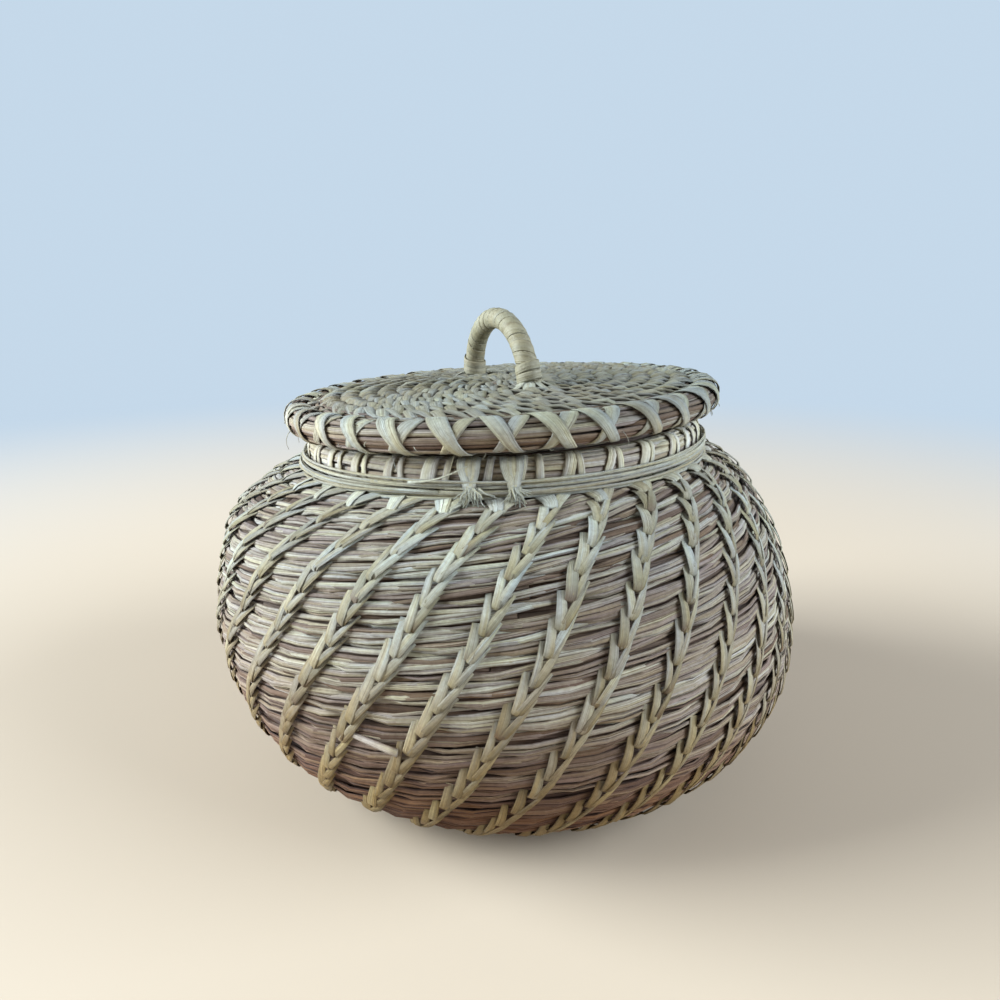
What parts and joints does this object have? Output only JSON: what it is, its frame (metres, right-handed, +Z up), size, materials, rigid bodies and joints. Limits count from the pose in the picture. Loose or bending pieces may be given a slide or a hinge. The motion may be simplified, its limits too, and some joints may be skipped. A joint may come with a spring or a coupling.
{
  "type": "lidded basket",
  "caption": "Round-bellied coiled grass basket with a flat base, a narrow neck and a loose coiled lid that lifts off by a wrapped arch handle.",
  "frame": {"origin": "on the floor, under the middle of the basket", "axes": "+Z is up, -Y is the front that the picture shows, +X is to the right of that view"},
  "size_m": [0.2327, 0.2326, 0.177],
  "materials": {
    "grass_coil": "dry grass stems, matt, straw to grey-brown",
    "split_grass": "split grass strips, pale straw, slight sheen",
    "collar_grass": "bundled grass stems, matt straw",
    "handle_grass": "wrapped grass strip, pale cream, slight sheen"
  },
  "bodies": {
    "basket": {"base_coil": "grass_coil", "foot_coil": "grass_coil", "lower_wall_coil": "grass_coil", "belly_coil": "grass_coil", "shoulder_coil": "grass_coil", "neck_coil": "grass_coil", "neck_collar": "collar_grass", "hoop_splint_1": "split_grass", "hoop_splint_2": "split_grass", "hoop_splint_3": "split_grass", "stitch_row_01": "split_grass", "stitch_row_02": "split_grass", "stitch_row_03": "split_grass", "stitch_row_04": "split_grass", "stitch_row_05": "split_grass", "stitch_row_06": "split_grass", "stitch_row_07": "split_grass", "stitch_row_08": "split_grass", "stitch_row_09": "split_grass", "stitch_row_10": "split_grass", "stitch_row_11": "split_grass", "stitch_row_12": "split_grass", "stitch_row_13": "split_grass", "stitch_row_14": "split_grass", "stitch_row_15": "split_grass", "stitch_row_16": "split_grass", "stitch_row_17": "split_grass", "stitch_row_18": "split_grass", "stitch_row_19": "split_grass", "stitch_row_20": "split_grass", "stitch_row_21": "split_grass", "stitch_row_22": "split_grass", "stitch_row_23": "split_grass", "stitch_row_24": "split_grass", "stitch_row_25": "split_grass", "stitch_row_26": "split_grass", "stitch_row_27": "split_grass", "stitch_row_28": "split_grass", "stitch_row_29": "split_grass", "stitch_row_30": "split_grass", "stitch_row_31": "split_grass", "stitch_row_32": "split_grass"},
    "lid": {"lid_disc_coil": "grass_coil", "lid_rim_coil": "grass_coil", "lid_rim_lacing": "split_grass", "lid_locating_ring": "grass_coil", "lid_stitch_row_1": "split_grass", "lid_stitch_row_2": "split_grass", "lid_stitch_row_3": "split_grass", "lid_stitch_row_4": "split_grass", "lid_stitch_row_5": "split_grass", "lid_stitch_row_6": "split_grass", "lid_stitch_row_7": "split_grass", "lid_stitch_row_8": "split_grass", "handle_core": "handle_grass", "handle_wrap": "handle_grass", "handle_lashing_front": "handle_grass", "handle_lashing_back": "handle_grass"}
  },
  "joints": [
    {"name": "lid_lift", "type": "slide", "parent": "basket", "child": "lid", "axis": [0, 0, 1], "range_m": [0, 0.12]}
  ]
}
